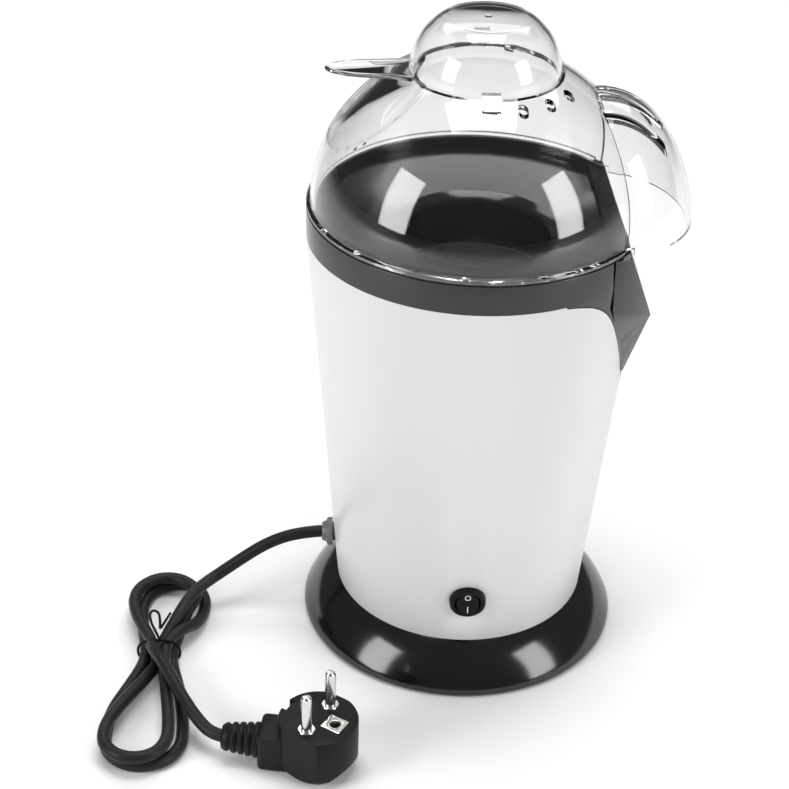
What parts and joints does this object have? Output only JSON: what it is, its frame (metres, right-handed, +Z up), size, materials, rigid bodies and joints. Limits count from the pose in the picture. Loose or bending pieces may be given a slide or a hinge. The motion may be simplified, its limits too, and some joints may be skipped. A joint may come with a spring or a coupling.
{
  "type": "popcorn maker",
  "caption": "Hot-air popcorn maker: flared base, conical body, ramped collar, clear domed cover with outlet hood, measuring cup cap, rocker switch and tied mains cord with angled earthed plug.",
  "frame": {"origin": "centre of the base on the surface it stands on", "axes": "+Z up along the body's axis, -Y the front with the switch, +X the outlet hood, -X the cord gland and the cup's handle"},
  "size_m": [0.2583, 0.2112, 0.3024],
  "materials": {
    "white_plastic": "satin",
    "gloss_black": "gloss",
    "clear_plastic": "clear, polished",
    "black_plastic": "satin",
    "grey_nylon": "satin",
    "black_pvc": "satin",
    "tie_plastic": "satin",
    "plated_metal": "polished nickel plate",
    "chamber_aluminium": "satin anodised",
    "rubber": "matte",
    "steel": "galvanised sheet",
    "heating_wire": "dull drawn wire",
    "mica": "matte sheet",
    "white_nylon": "satin",
    "rotor_iron": "matte",
    "board": "satin"
  },
  "bodies": {
    "base": {"base_skirt": "gloss_black", "body_shell": "white_plastic", "bottom_plate": "black_plastic", "chamber_gasket": "rubber", "cord_gland": "grey_nylon", "cord_hank": "black_pvc", "cord_lead": "black_pvc", "cord_tail": "black_pvc", "cord_tie": "tie_plastic", "earth_clip": "plated_metal", "earth_socket": "plated_metal", "funnel_tray": "gloss_black", "heater_coil": "heating_wire", "heater_frame": "mica", "heater_shroud": "steel", "motor_can": "steel", "motor_endcap": "white_nylon", "motor_plate": "steel", "plug_body": "black_pvc", "plug_boot": "black_pvc", "plug_pin_1": "plated_metal", "plug_pin_2": "plated_metal", "popping_chamber": "chamber_aluminium", "rectifier_board": "board", "rubber_foot_1": "rubber", "rubber_foot_2": "rubber", "rubber_foot_3": "rubber", "rubber_foot_4": "rubber", "switch_housing": "black_plastic", "terminal_block": "white_nylon", "thermal_fuse": "steel", "thermostat": "steel", "top_collar": "gloss_black"},
    "cover": {"dome_cover": "clear_plastic"},
    "cup": {"measuring_cup": "clear_plastic"},
    "rocker": {"switch_rocker": "black_plastic"},
    "fan": {"motor_shaft": "steel", "motor_rotor": "rotor_iron", "fan_impeller": "white_nylon", "fan_nut": "steel"}
  },
  "joints": [
    {"name": "cover_lift", "type": "slide", "parent": "base", "child": "cover", "axis": [0, 0, 1], "range_m": [0, 0.12]},
    {"name": "cup_lift", "type": "slide", "parent": "cover", "child": "cup", "axis": [0, 0, 1], "range_m": [0, 0.08]},
    {"name": "rocker_tilt", "type": "hinge", "parent": "base", "child": "rocker", "pos_m": [0, -0.06168, 0.04596], "axis": [1, 0, 0], "range_deg": [0, 18.6]},
    {"name": "fan_spin", "type": "hinge", "parent": "base", "child": "fan", "pos_m": [0, 0, 0.06], "axis": [0, 0, 1], "continuous": true}
  ]
}
